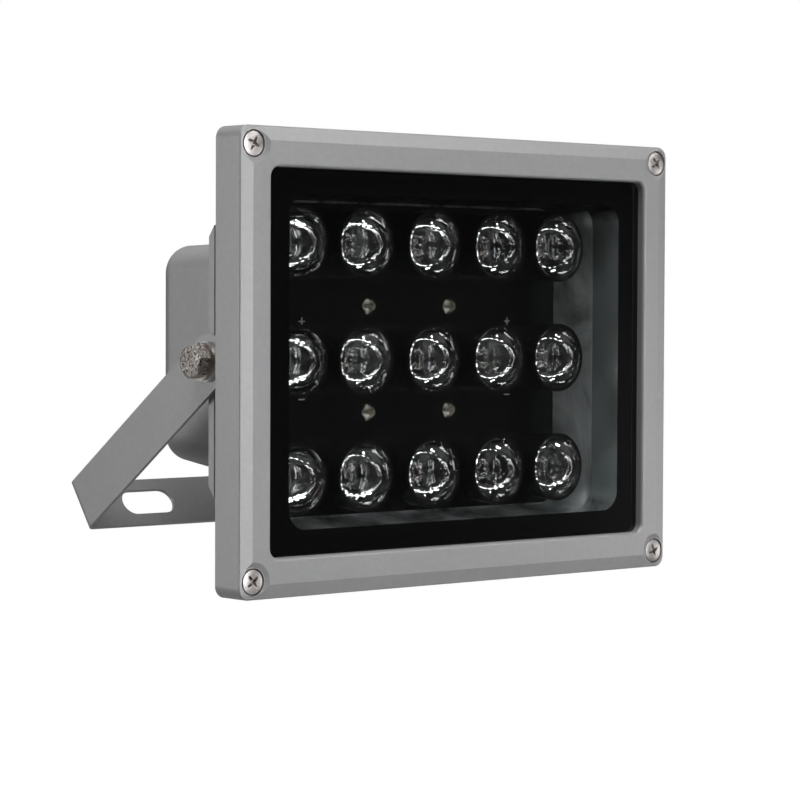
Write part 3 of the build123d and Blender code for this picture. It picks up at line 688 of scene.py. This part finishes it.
def spreadTree(name, material, sizes, placeOf, count, seed):
    # Geometry nodes: copies of the piece on points worked out from their index, each turned by
    # a random angle unless the seed is 0.
    tree = bpy.data.node_groups.new(name, "GeometryNodeTree")
    tree.interface.new_socket("Geometry", in_out="INPUT", socket_type="NodeSocketGeometry")
    for label in sizes:
        tree.interface.new_socket(label, in_out="INPUT", socket_type="NodeSocketFloat")
    tree.interface.new_socket("Geometry", in_out="OUTPUT", socket_type="NodeSocketGeometry")
    start = tree.nodes.new("NodeGroupInput")
    end = tree.nodes.new("NodeGroupOutput")
    index = tree.nodes.new("GeometryNodeInputIndex").outputs[0]
    x, z = placeOf(tree, start.outputs, index)
    place = tree.nodes.new("ShaderNodeCombineXYZ")
    tree.links.new(x, place.inputs["X"])
    tree.links.new(start.outputs["Depth"], place.inputs["Y"])
    tree.links.new(z, place.inputs["Z"])
    points = tree.nodes.new("GeometryNodePoints")
    points.inputs["Count"].default_value = count
    tree.links.new(place.outputs[0], points.inputs["Position"])
    copies = tree.nodes.new("GeometryNodeInstanceOnPoints")
    tree.links.new(points.outputs[0], copies.inputs["Points"])
    tree.links.new(start.outputs["Geometry"], copies.inputs["Instance"])
    if seed:
        angle = tree.nodes.new("FunctionNodeRandomValue")
        angle.data_type = "FLOAT"
        angle.inputs["Seed"].default_value = seed
        angle.inputs[3].default_value = 2 * pi
        spin = tree.nodes.new("ShaderNodeCombineXYZ")
        tree.links.new(angle.outputs[1], spin.inputs["Y"])
        tree.links.new(spin.outputs[0], copies.inputs["Rotation"])
    solid = tree.nodes.new("GeometryNodeRealizeInstances")
    tree.links.new(copies.outputs[0], solid.inputs[0])
    coat = tree.nodes.new("GeometryNodeSetMaterial")
    coat.inputs["Material"].default_value = material
    tree.links.new(solid.outputs[0], coat.inputs["Geometry"])
    tree.links.new(coat.outputs[0], end.inputs[0])
    return tree


def spreadPiece(piece, tree, sizes):
    modifier = piece.modifiers.new("spread", "NODES")
    modifier.node_group = tree
    for item in tree.interface.items_tree:
        if item.name in sizes and item.in_out == "INPUT":
            modifier[item.identifier] = sizes[item.name]
    settle(piece)


def fourCorners(tree, sizes, index):
    # Signs (-, -), (+, -), (-, +), (+, +) from the index.
    side = reckon(tree, "MODULO", index, 2.0)
    row = reckon(tree, "GREATER_THAN", index, 1.5)
    side, row = (reckon(tree, "MULTIPLY_ADD", half, 2.0, -1.0) for half in (side, row))
    across = reckon(tree, "MULTIPLY", side, sizes["Across"])
    upward = reckon(tree, "MULTIPLY", row, sizes["Up"])
    return across, reckon(tree, "ADD", upward, sizes["Middle"])


def lensGrid(tree, sizes, index):
    # Five columns, the outer two at their own distance, and three rows, from the index.
    columns = 5.0
    row = reckon(tree, "FLOOR", reckon(tree, "DIVIDE", index, columns))
    column = reckon(tree, "SUBTRACT", reckon(tree, "MODULO", index, columns), 2.0)
    outer = reckon(tree, "GREATER_THAN", reckon(tree, "ABSOLUTE", column), 1.5)
    gap = reckon(tree, "SUBTRACT", sizes["Outer"], sizes["Inner"])
    reach = reckon(tree, "MULTIPLY_ADD", outer, gap, sizes["Inner"])
    across = reckon(tree, "MULTIPLY", reckon(tree, "SIGN", column), reach)
    up = reckon(tree, "SUBTRACT", row, 1.0)
    return across, reckon(tree, "MULTIPLY_ADD", up, sizes["Rows"], sizes["Middle"])


def centreOf(node):
    low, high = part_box(node)
    return (low + high) / 2


# Beam lenses, turned to a smooth profile between the middle lens's own front and foot
lensShape = {
    "wellRadius": 4.4 * mm,
    "wellDepth": 3.2 * mm,
    "wellCrown": 0.9 * mm,  # height of the little dome at the well's bottom
    "wellLip": 0.15 * mm,
    "wellDraft": (1.03, 1.08),  # how much wider the well is below its lip and at the front
    "edge": 0.25 * mm,  # the bevel round the front
    "rim": 1.2 * mm,
    "bodyRadius": 9.2 * mm,
    "footRadius": 4.4 * mm,
    "boreRadius": 3.2 * mm,
    "boreDepth": 3.6 * mm,
    "boreDraft": 0.96,
    "boreDome": 0.8 * mm,
    "ripples": (9, 23),  # shallow waves round the bowl, which break the highlights up
    "rippleDepth": 0.009 * mm,
    "rippleTwist": 0.12,  # radians of turn from rim to foot
    "rippleShift": 1.7,  # radians between the finer and the coarser waves
    "rippleInner": 1.05,  # no waves nearer the axis than this, times the bore's radius
    "steps": 120,
    "crownSteps": 8,
    "bowlSteps": 16,
    "domeSteps": 6,
}
gridSizes = {
    "Inner": centreOf("lens_2_4").x,
    "Outer": centreOf("lens_2_5").x,
    "Rows": centreOf("lens_1_3").z - centreOf("lens_2_3").z,
    "Middle": centreOf("lens_2_3").z,
    "Depth": 0.0,
}


def lensProfile(radius, front, rimBack, foot):
    # From the middle of the well out over the front, back down the bowl and up the bore.
    s = lensShape
    points = []
    for i in range(s["crownSteps"] + 1):
        share = i / s["crownSteps"]
        crown = s["wellCrown"] * (1 - share ** 2)
        points.append((s["wellRadius"] * share, front + s["wellDepth"] - crown))
    below, above = (s["wellRadius"] * share for share in s["wellDraft"])
    points += [(below, front + s["wellLip"]), (above, front),
               (radius - s["edge"], front), (radius, front + s["edge"]), (radius, rimBack)]
    for i in range(s["bowlSteps"] + 1):
        turn = i / s["bowlSteps"] * pi / 2
        inward = (s["footRadius"] - s["bodyRadius"]) * (1 - cos(turn))
        points.append((s["bodyRadius"] + inward, rimBack + (foot - rimBack) * sin(turn)))
    points.append((s["boreRadius"], foot))
    for i in range(s["domeSteps"] + 1):
        share = 1 - i / s["domeSteps"]
        points.append((s["boreRadius"] * s["boreDraft"] * share,
                       foot - s["boreDepth"] + s["boreDome"] * share ** 2))
    return points


def rippleBowl(mesh, rimBack, foot):
    s = lensShape
    coarse, fine = s["ripples"]
    for point in mesh.vertices:
        x, y, z = point.co
        reach = (x * x + z * z) ** 0.5
        if y > rimBack and reach > s["boreRadius"] * s["rippleInner"]:
            angle = atan2(z, x) + s["rippleTwist"] * (y - rimBack) / (foot - rimBack)
            swell = cos(coarse * angle) + cos(fine * angle + s["rippleShift"])
            wave = 1 + s["rippleDepth"] / reach * swell
            point.co = (x * wave, y, z * wave)


def makeLenses():
    low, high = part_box("lens_2_3")
    rimBack = low.y + lensShape["rim"]
    profile = lensProfile((high.x - low.x) / 2, low.y, rimBack, high.y)
    mesh = turnedMesh("lens", profile, lensShape["steps"])
    rippleBowl(mesh, rimBack, high.y)
    shadeByAngle(mesh, 35)
    lenses = newPiece("beamLenses", mesh, "lensAcrylic")
    tree = spreadTree("lensSpread", finishes["lensAcrylic"], gridSizes, lensGrid, count=15, seed=0)
    spreadPiece(lenses, tree, gridSizes)
    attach(lenses, "lamp")
    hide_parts(*[f"lens_{r}_{c}" for r in (1, 2, 3) for c in (1, 2, 3, 4, 5)])


makeLenses()
print("stage: lenses")


# Cross-head screws, with a domed head and a tapered cross recess
screws = {
    "frame_screws": {"piece": "frameScrews", "finish": "stainless", "slot": "stainless_steel",
                     "head": 3.7 * mm, "height": 2.0 * mm, "shank": 1.75 * mm, "length": 8.0 * mm,
                     "crown": 0.16, "back": False, "seed": 3},
    "board_screws": {"piece": "boardScrews", "finish": "zincScrew", "slot": "zinc_steel",
                     "head": 2.8 * mm, "height": 1.9 * mm, "shank": 1.5 * mm, "length": 4.6 * mm,
                     "crown": 0.42, "back": False, "seed": 5},
    "cover_screws": {"piece": "coverScrews", "finish": "stainless", "slot": "stainless_steel",
                     "head": 3.4 * mm, "height": 2.4 * mm, "shank": 1.75 * mm, "length": None,
                     "crown": 0.30, "back": True, "seed": 8},
}
screwShape = {
    # lengths across are shares of the head's radius, and lengths along of its height
    "armReach": 0.62,
    "armWidth": 0.13,
    "armTaper": (0.75, 1.25),  # of that width, at the tip and in the middle
    "armWall": 0.45,  # of that width, how much slopes
    "armRise": 1.9,  # how soon an arm is at full depth
    "recess": 0.62,
    "dome": 0.97,
    "domePower": 2.6,  # the higher, the flatter its middle
    "shoulder": 0.08,
    "skirt": 0.97,
    "underside": 0.98,
    "rings": 26,
    "steps": 96,
}


def crossDepth(head, height):
    s = screwShape
    arm, width, deep = head * s["armReach"], head * s["armWidth"], height * s["recess"]
    tip, root = s["armTaper"]

    def depth(x, z):
        best = 0.0
        for along, across in ((x, z), (z, x)):
            reach = max(0.0, 1 - abs(along) / arm)
            side = width * (tip + (root - tip) * reach)
            wall = min(1.0, max(0.0, (side - abs(across)) / (width * s["armWall"])))
            best = max(best, min(1.0, reach * s["armRise"]) * wall)
        return deep * best

    return depth


def makeScrews(node):
    s, shape = screws[node], screwShape
    low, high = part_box(node)
    head, height, shank = s["head"], s["height"], s["shank"]
    foot = height + (s["length"] or (high.y - low.y - height))
    crown = height * s["crown"]
    rings = shape["rings"]
    top = [(head * shape["dome"] * i / rings, crown * (i / rings) ** shape["domePower"])
           for i in range(rings + 1)]
    flank = [(head, crown + height * shape["shoulder"]), (head, height * shape["skirt"]),
             (head * shape["underside"], height)]
    stem = [(shank, height), (shank, foot - shank / 2), (shank / 2, foot), (0.0, foot)]
    mesh = turnedMesh(node, top, shape["steps"], crossDepth(head, height))
    body = turnedMesh(node + "Body", [top[-1]] + flank + stem, shape["steps"])
    edit = bmesh.new()
    edit.from_mesh(mesh)
    edit.from_mesh(body)
    bmesh.ops.remove_doubles(edit, verts=edit.verts, dist=1e-7)
    bmesh.ops.recalc_face_normals(edit, faces=edit.faces)
    if s["back"]:
        bmesh.ops.transform(edit, matrix=Matrix.Rotation(pi, 4, "X"), verts=edit.verts)
    edit.to_mesh(mesh)
    edit.free()
    shadeByAngle(mesh, 40)
    piece = newPiece(s["piece"], mesh, s["finish"])
    sizes = {
        "Across": (high.x - low.x) / 2 - head,
        "Up": (high.z - low.z) / 2 - head,
        "Middle": (low.z + high.z) / 2,
        "Depth": high.y if s["back"] else low.y,
    }
    tree = spreadTree(s["piece"] + "Spread", finishes[s["finish"]], sizes, fourCorners,
                      count=4, seed=s["seed"])
    spreadPiece(piece, tree, sizes)
    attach(piece, "lamp")
    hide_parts(node)


for node in screws:
    makeScrews(node)
print("stage: screws")


# Polarity marks printed on the lamp board
boardMarks = {
    "across": 43.7 * mm,
    "plusRise": 11.9 * mm,
    "minusRise": -12.2 * mm,
    "size": 2.5 * mm,
    "stroke": 0.30 * mm,
    "thickness": 0.06 * mm,
}


def makeBoardMarks():
    s = boardMarks
    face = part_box("led_board")[0].y
    edit = bmesh.new()

    def bar(x, z, width, height):
        made = bmesh.ops.create_cube(edit, size=1.0)["verts"]
        size = Matrix.Diagonal((width, s["thickness"], height, 1))
        place = Matrix.Translation((x, face - s["thickness"] / 2, z))
        bmesh.ops.transform(edit, matrix=place @ size, verts=made)

    for x in (-s["across"], s["across"]):
        bar(x, lampMiddle + s["plusRise"], s["size"], s["stroke"])
        arm = (s["size"] - s["stroke"]) / 2
        for side in (-1, 1):
            bar(x, lampMiddle + s["plusRise"] + side * (arm + s["stroke"]) / 2, s["stroke"], arm)
        bar(x, lampMiddle + s["minusRise"], s["size"], s["stroke"])
    mesh = bpy.data.meshes.new("boardMarks")
    edit.to_mesh(mesh)
    edit.free()
    piece = newPiece("boardMarks", mesh, "boardInk")
    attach(piece, "lamp")


makeBoardMarks()
print("stage: board marks")

print("stage: finished")
